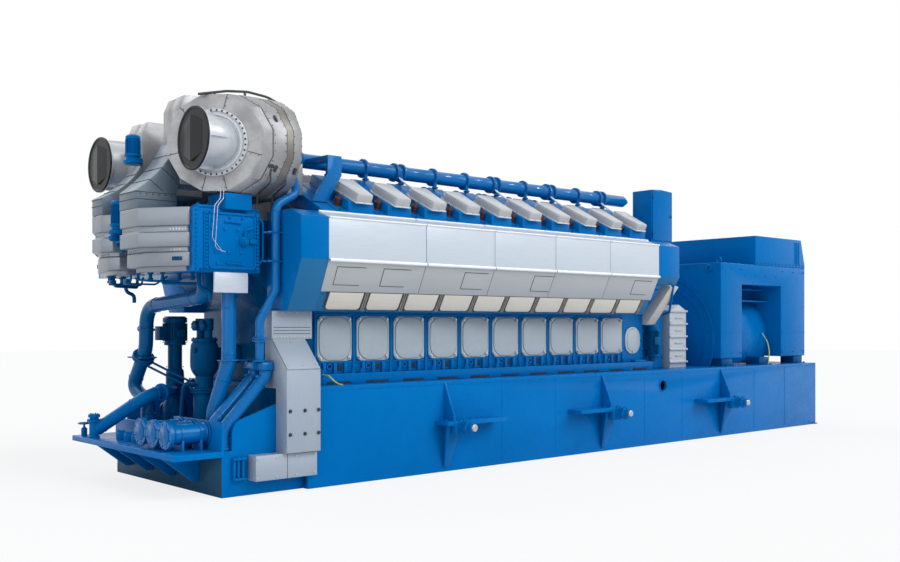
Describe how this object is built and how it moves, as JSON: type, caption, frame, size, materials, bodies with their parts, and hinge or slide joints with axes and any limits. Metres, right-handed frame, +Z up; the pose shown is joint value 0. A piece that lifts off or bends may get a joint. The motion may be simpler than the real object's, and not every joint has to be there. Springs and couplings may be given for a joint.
{
  "type": "generator set",
  "caption": "Dual-fuel V engine and generator on one steel base frame, with turbochargers, air coolers and pipework at the free end.",
  "frame": {"origin": "centre of the base frame's underside, on the floor", "axes": "+X along the shaft line from the turbocharger end to the generator, +Y to the engine's far side, +Z up"},
  "size_m": [12.65, 3.75, 4.27],
  "materials": {
    "blue_paint": "semi-gloss enamel",
    "silver_panel": "satin silver lacquer",
    "cream_panel": "satin",
    "grey_panel": "satin sheet steel",
    "dark_metal": "semi-gloss black",
    "coil_resin": "gloss"
  },
  "bodies": {
    "root": {"base_girders": "blue_paint", "base_cross_members": "blue_paint", "base_deck": "blue_paint", "base_floor_plate": "blue_paint", "front_frame": "blue_paint", "base_brackets": "blue_paint", "bracket_jacks": "blue_paint", "pipe_rack": "blue_paint", "service_pipes": "blue_paint", "rack_valves": "blue_paint", "engine_feet": "blue_paint", "engine_block": "blue_paint", "front_housing": "blue_paint", "crankcase_doors": "silver_panel", "hot_box_frames": "blue_paint", "upper_covers": "silver_panel", "lower_covers": "silver_panel", "window_covers": "cream_panel", "bank_end_covers": "blue_paint", "cylinder_heads": "blue_paint", "rocker_covers": "silver_panel", "ignition_coils": "coil_resin", "gas_pipes": "blue_paint", "exhaust_casing": "silver_panel", "turbo_casings": "silver_panel", "turbo_outlets": "silver_panel", "blanking_plates": "dark_metal", "turbo_brackets": "blue_paint", "air_ducts": "silver_panel", "air_actuators": "blue_paint", "air_boxes": "silver_panel", "cooler_housing": "blue_paint", "cooler_covers": "blue_paint", "water_pipe": "blue_paint", "cooler_drop_pipe": "blue_paint", "supply_pipes": "blue_paint", "vent_pipe": "blue_paint", "oil_filter": "blue_paint", "circulation_pump": "blue_paint", "junction_box": "grey_panel", "cable_duct": "grey_panel", "foot_duct": "grey_panel", "blank_plate": "silver_panel", "flywheel_housing": "blue_paint", "flywheel_guards": "blue_paint", "ribbed_cover": "grey_panel", "control_cabinet": "blue_paint", "turning_gear": "blue_paint", "cable_tray": "cream_panel", "generator_frame": "blue_paint", "generator_stator": "blue_paint", "generator_hood": "blue_paint", "generator_bell": "blue_paint", "generator_feet": "blue_paint"}
  },
  "joints": []
}
